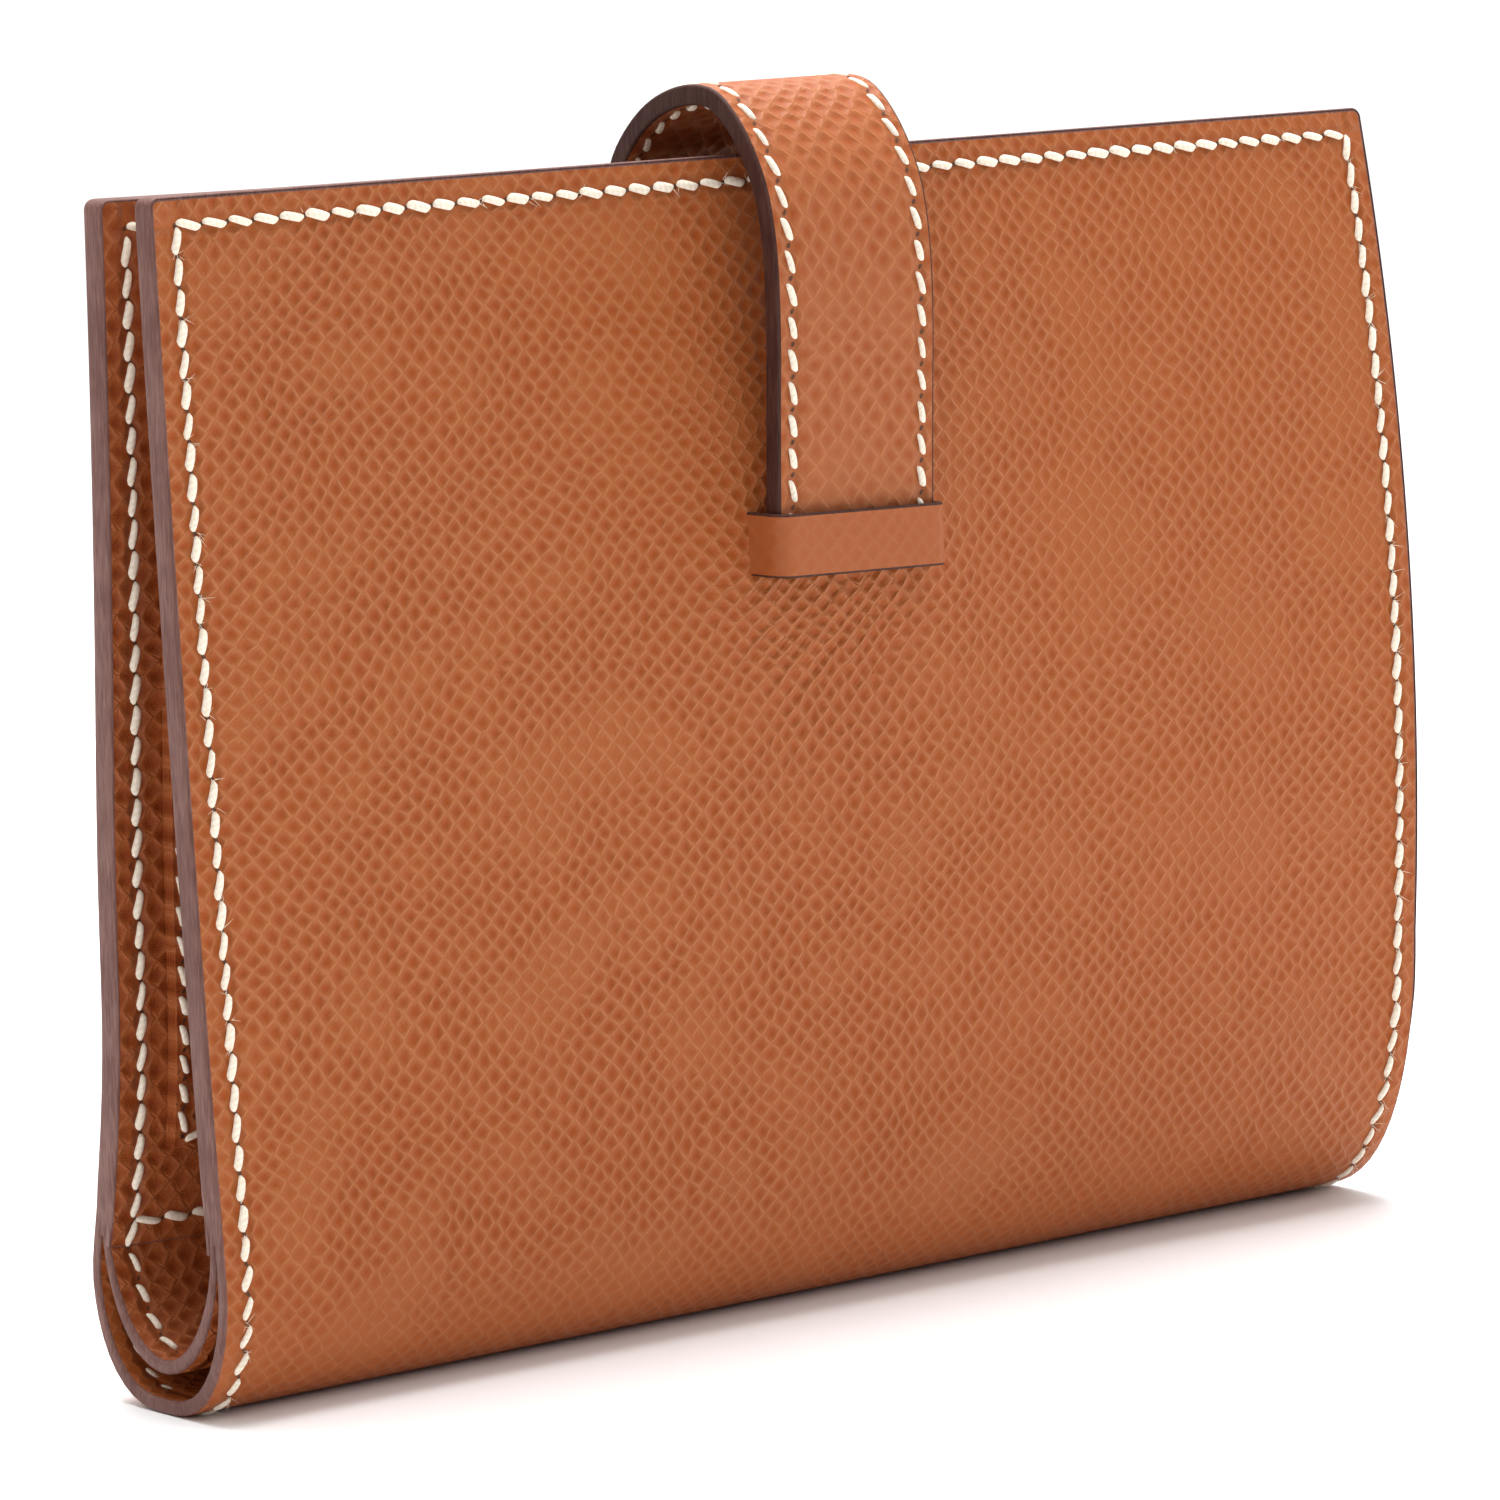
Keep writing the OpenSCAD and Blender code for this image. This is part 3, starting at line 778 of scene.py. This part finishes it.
# --- covers and lining -----------------------------------------------------------------------------
LINING_D = COVER_T + LINING_GAP
SIDES = {"near": (-1, "near_cover", near, near_in), "far": (1, "far_cover", far, far_in)}
for which, (side, body, skin, inner) in SIDES.items():
    bend = dict(start=(0, side * 0.6 * MM, 0.4 * MM), end=(0, side * 8.6 * MM, 9.8 * MM))
    bend_in = dict(start=(0, side * 0.3 * MM, (LINING_LOW + 0.4) * MM),
                   end=(0, side * 6.6 * MM, (LINING_LOW + 9.5) * MM))

    def full(surface, depth=0.0):
        return lambda x: surface.length(x, depth)

    def sewn(name, surface, rows, hold, body=body, bend=bend, **how):
        rows_o, rows_h = sew(name, surface, rows, **how)
        for piece in (rows_o, rows_h):
            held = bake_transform(piece) if hold == "bend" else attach(piece, body)
        return rows_o

    cover = cut_sheet(f"outer_leather_{which}", skin, -HALF_W, HALF_W, lambda x: 0.0, full(skin), 0.0,
                      COVER_T, [grained, paint], nx=48, ny=54, ease=1.2, seams=("low",), corner=LEAF_CORNER,
                      plump=0.28)
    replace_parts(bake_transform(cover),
                f"cover_{which}", f"cover_fold_{which}")
    lining = cut_sheet(f"lining_{which}_leather", inner, -HALF_W, HALF_W, lambda x: 0.0,
                       full(inner, LINING_D), LINING_D, LINING_T, [grained_plain, paint], nx=48, ny=54,
                       ease=1.2, seams=("low",), corner=LEAF_CORNER, plump=0.75)
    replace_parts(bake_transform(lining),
                f"lining_{which}", f"lining_fold_{which}")

    panel_d = COVER_T + LINING_T
    total = panel_d + PANEL_T[which]
    low = PANEL_LOW - 0.75 if which == "far" else PANEL_LOW + 0.4

    def sag(x):
        return 0.8 * math.sqrt(max(0.0, 1 - (x / HALF_W) ** 2))

    panel = cut_sheet(f"pocket_panel_{which}_leather", skin, -HALF_W, HALF_W,
                      lambda x: skin.at_height(x, low - sag(x), panel_d), full(skin, panel_d), panel_d,
                      PANEL_T[which], [grained_plain, paint], nx=48, ny=40, rim=0.15, corner=LEAF_CORNER)
    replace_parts(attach(panel, body), f"pocket_panel_{which}")
    rim = painted_rim(f"edge_paint_{which}", skin, total, low + 0.9)
    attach(rim, body)

    # stitch rows: up both ends from under the fold, and along the free edge
    runs, fold_runs = [], []
    for end in (-1, 1):
        x = end * side_line
        places = steps(1.5, skin.length(x) - ROW_IN, 2.36)
        split = next(k for k, q in enumerate(places) if q > skin.at_height(x, 14.5))
        fold_runs.append([(x, q) for q in places[:split + 1]])
        runs.append([(x, q) for q in places[split:]])
    across = [(x, skin.length(x) - ROW_IN) for x in steps(-side_line, side_line)]
    end_rows = sewn(f"cover_{which}_stitches_ends", skin, runs, "bend", mirror=side, fuzz=0.5, first=1.25)
    sewn(f"cover_{which}_stitches_fold", skin, fold_runs, "bend", mirror=side, slant=0.34, size=0.9,
         loose=0.2, fuzz=0.8)
    sewn(f"cover_{which}_stitches_edge", skin, [across], "ride", mirror=side, fuzz=0.2)
    round_fold = ["fold_thread_left", "fold_thread_right"] if which == "near" else []
    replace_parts(end_rows, f"cover_{which}_thread", *round_fold)
    back_top = skin.at_height(side_line, 9.0, COVER_T)
    sewn(f"cover_{which}_stitches_back", skin,
         [[(x, q) for q in steps(1.5, back_top)] for x in (-side_line, side_line)],
         "bend", depth=COVER_T, face=-1, size=0.75, mirror=side)

    # lining rows inside the fold
    d_in = LINING_D + LINING_T
    low_runs = [[(x, q) for q in steps(1.2, inner.at_height(x, low - 0.4, d_in), 2.7)]
                for x in (-side_line, side_line)]
    inside = sewn(f"lining_{which}_stitches", inner, low_runs, "bend", bend=bend_in, depth=d_in, face=-1,
                  size=0.78, mirror=side, swell=LINING_T * 0.75)
    if which == "near":
        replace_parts(inside, "lining_thread_left", "lining_thread_right")

    # pocket panel rows: both ends, the lower edge and the free edge
    foot = low + 1.9
    highest = skin.length(side_line, total) - ROW_IN
    rows = [[(x, q) for q in steps(skin.at_height(x, foot, total), highest)] for x in (-side_line, side_line)]
    rows.append([(x, skin.at_height(x, foot - sag(x), total)) for x in steps(-side_line, side_line, 2.75)])
    rows.append([(x, skin.length(x, total) - ROW_IN) for x in steps(-side_line, side_line)])
    for x in (-side_line, side_line):
        rows.append([(x - 0.35, skin.at_height(x, foot - 2.3, total)), (x, skin.at_height(x, foot, total))])
    pocket = sewn(f"pocket_{which}_stitches", skin, rows, "ride", depth=total, face=-1, mirror=-side)
    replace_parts(pocket, f"pocket_{which}_thread")

# --- card slots on the far cover ---------------------------------------------------------------------
slot_step = SLOT_T + SLOT_GAP
slot_d = COVER_T + LINING_T + PANEL_T["far"] + SLOT_GAP
for i, slot_top in enumerate(SLOT_TOPS):
    d = slot_d + i * slot_step
    o = cut_sheet(f"card_slot_{i + 1}_leather", far, SLOT_LEFT - 1.7, SLOT_RIGHT,
                  lambda x, d=d: far.at_height(x, SLOT_LOW - 1.8, d),
                  lambda x, d=d, z=slot_top: far.at_height(x, z, d),
                  d, SLOT_T, [grained_plain, grained_plain], nx=34, ny=20, corner=LEAF_CORNER, rim=0.08)
    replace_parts(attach(o, "far_cover"), f"card_slot_{i + 1}")
row_left = SLOT_LEFT - 1.0
row_right = SLOT_RIGHT - 0.9
row_low = SLOT_LOW - 1.0
slot_rows = []
for i, slot_top in enumerate(SLOT_TOPS):
    seen_from = SLOT_TOPS[i + 1] + 0.6 if i < 3 else row_low
    d = slot_d + (i + 1) * slot_step
    for x in (row_left, row_right):
        slot_rows.append((d, [(x, q) for q in steps(far.at_height(x, seen_from, d),
                                                    far.at_height(x, slot_top - 0.8, d), 2.3)]))
slot_rows.append((d, [(x, far.at_height(x, row_low, d)) for x in steps(row_left, row_right, 2.4)]))
for k, (d, run) in enumerate(slot_rows):
    rows_o, rows_h = sew(f"card_slot_stitches_{k + 1}", far, [run], depth=d, face=-1, size=0.85)
    for piece in (rows_o, rows_h):
        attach(piece, "far_cover")
    if k == 0:
        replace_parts(rows_o, "card_slot_thread")


# --- strap ------------------------------------------------------------------------------------------
def mid_link(node, share):
    """The place (y, z) at these shares of a link's depth and height."""
    lo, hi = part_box(node)
    return ((lo.y + (hi.y - lo.y) * share[0]) / MM, (lo.z + (hi.z - lo.z) * share[1]) / MM)


cuts = [strap_at(mid_link("strap_link_1", (0.25, 0.6))), strap_at(mid_link("strap_link_2", (0.5, 0.9))),
        strap_at(mid_link("strap_link_3", (0.5, 0.9))), strap_at(mid_link("strap_link_4", (0.75, 0.6)))]
ends = [0.0] + cuts + [STRAP_LEN]
names = ["leg_near", "shoulder_near", "crown", "shoulder_far", "leg_far"]
stand_for = [["strap_base", "strap_link_1", "strap_base_thread"], ["strap_link_2"], ["strap_link_3"],
             ["strap_link_4"], ["strap_tongue", "strap_tongue_thread"]]
row_x = STRAP_HALF - 1.5
all_s = steps(2.0, STRAP_LEN - 7.5, STRAP_PITCH)
for k in range(5):
    a, b = ends[k], ends[k + 1]
    bend_from = cuts[0] - 9 if k == 0 else a
    bend_to = cuts[3] + 9 if k == 4 else b
    pts = [strap.place(0, q, STRAP_T / 2)[0] * MM for q in (bend_from, bend_to)]
    o = cut_sheet(f"strap_{names[k]}", strap, -STRAP_HALF, STRAP_HALF, lambda x, a=a: a, lambda x, b=b: b,
                  0.0, STRAP_T, [grained_strap, paint_dark], nx=10, ny=max(8, int((b - a) / 1.1)),
                  corner=6.0 if k == 4 else 0.0, rim=0.3, from_top=False,
                  seams=("high",) if k == 0 else ("low",) if k == 4 else ("low", "high"))
    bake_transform(o)
    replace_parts(o, *stand_for[k])
    for face, tag in ((1, "outer"), (-1, "inner")):
        runs = [[(x, s0), (x, s1)] for x in (-row_x, row_x) for s0, s1 in zip(all_s, all_s[1:])
                if a <= (s0 + s1) / 2 < b]
        rows_o, rows_h = sew(f"strap_{names[k]}_stitches_{tag}", strap, runs,
                             depth=0.0 if face > 0 else STRAP_T, face=face, slant=0.24, size=0.86,
                             pitch=STRAP_PITCH)
        for piece in (rows_o, rows_h):
            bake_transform(piece)


# --- bar and keeper ---------------------------------------------------------------------------------
class Loop:
    """A leather loop that stands off a cover: s runs across it from slit to slit, x runs up the cover."""

    def __init__(self, cover, half, front, low, drop):
        self.cover, self.half, self.front, self.low, self.drop = cover, half, front, low, drop
        self.side = cover.side
        self.lift = lift = abs(front - cover.place(0, cover.at_height(0, low + 2.5))[0].y)
        r = 1.2
        a = np.linspace(0, math.pi / 2, 9)
        round_x, round_up = r * np.cos(a), r * np.sin(a)
        self.xs = np.concatenate([[-half, -half], -half + r - round_x, half - r + round_up, [half, half]])
        self.ls = np.concatenate([[-0.9, 0.6], lift - r + round_up, lift - r + round_x, [0.6, -0.9]])
        self.run = np.concatenate([[0], np.cumsum(np.hypot(np.diff(self.xs), np.diff(self.ls)))])

    def length(self, x, depth=0.0):
        return float(self.run[-1])

    def spot(self, up, s):
        x = float(np.interp(s, self.run, self.xs))
        off = float(np.interp(s, self.run, self.ls))
        z = self.low + up - self.drop * (x + self.half)
        base = self.cover.place(x, self.cover.at_height(x, z))[0]
        k = off / self.lift
        return Vector((x, base.y * (1 - k) + self.front * k, base.z))

    def place(self, up, s, depth=0.0, lift=0.0):
        p = self.spot(up, s)
        t = (self.spot(up, min(s + 0.3, self.run[-1])) - self.spot(up, max(s - 0.3, 0.0))).normalized()
        v = (self.spot(up + 0.5, s) - self.spot(up - 0.5, s)).normalized()
        n = t.cross(v).normalized()
        centre = self.spot(up, self.run[-1] / 2) - Vector((0, self.side, 0)) * self.lift
        if n.dot(p - centre) < 0:
            n = -n
        return p + n * (lift - depth), n, t


bar_h = BAR_HIGH - BAR_LOW - 0.1
for name, cover, body, node, front, drop in (("bar", near, "near_cover", "strap_bar", -15.0, 0.028),
                                             ("keeper", far, "far_cover", "tongue_keeper", 8.2, 0.0)):
    loop = Loop(cover, STRAP_HALF + 0.62, front, BAR_LOW + 0.05, drop)
    o = cut_sheet(f"strap_{name}_leather", loop, 0.0, bar_h, lambda x: 0.0, loop.length, 0.0, LOOP_T,
                  [plain_calf, paint_dark], nx=6, ny=70, corner=0.0, rim=0.2, from_top=False)
    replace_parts(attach(o, body), node)

# --- studio -----------------------------------------------------------------------------------------
scene = bpy.context.scene
scene.view_settings.view_transform = "Standard"
scene.view_settings.look = "None"
floor_bm = bmesh.new()
bmesh.ops.create_grid(floor_bm, x_segments=1, y_segments=1, size=6.0)
floor_m, floor_t, floor_s = material("studio_floor")
where = floor_t.nodes.new("ShaderNodeTexCoord").outputs["Object"]
fleck = put(floor_t, "ShaderNodeTexNoise", {"Vector": where, "Scale": 40.0})
floor_white = blend_colour(floor_t, fleck.outputs[0], (0.96, 0.96, 0.96, 1), (0.97, 0.97, 0.97, 1))
floor_t.links.new(floor_white, floor_s.inputs["Base Color"])
floor_s.inputs["Roughness"].default_value = 0.6
floor_o = finish_mesh(floor_bm, "studio_floor", [floor_m], smooth=False)
floor_o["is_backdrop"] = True

world = bpy.data.worlds.new("studio")
scene.world = world
world.use_nodes = True
sky = world.node_tree
sky.nodes["Background"].inputs[0].default_value = (1, 1, 1, 1)
facing = put(sky, "ShaderNodeSeparateXYZ", {0: sky.nodes.new("ShaderNodeTexCoord").outputs["Generated"]})
sky.links.new(fade(sky, facing.outputs[2], 0.0, 0.6, 0.12, 0.8), sky.nodes["Background"].inputs[1])


def softbox(name, where, aim_at, size, power):
    """A square white light; size in metres, power in watts."""
    data = bpy.data.lights.new(name, "AREA")
    data.shape = "SQUARE"
    data.size = size
    data.energy = power
    o = bpy.data.objects.new(name, data)
    scene.collection.objects.link(o)
    o.location = where
    o.rotation_mode = "QUATERNION"
    o.rotation_quaternion = (Vector(aim_at) - Vector(where)).to_track_quat("-Z", "Y")


softbox("key_overhead", (0.05, 0.12, 0.8), (0.02, 0, 0.05), 0.6, 10.5)
softbox("background_light", (1.9, 2.3, 1.6), (1.9, 2.3, 0), 3.0, 30.0)
softbox("fill_right", (0.9, -0.45, 0.35), (0, 0, 0.05), 0.5, 2.2)

low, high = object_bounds()
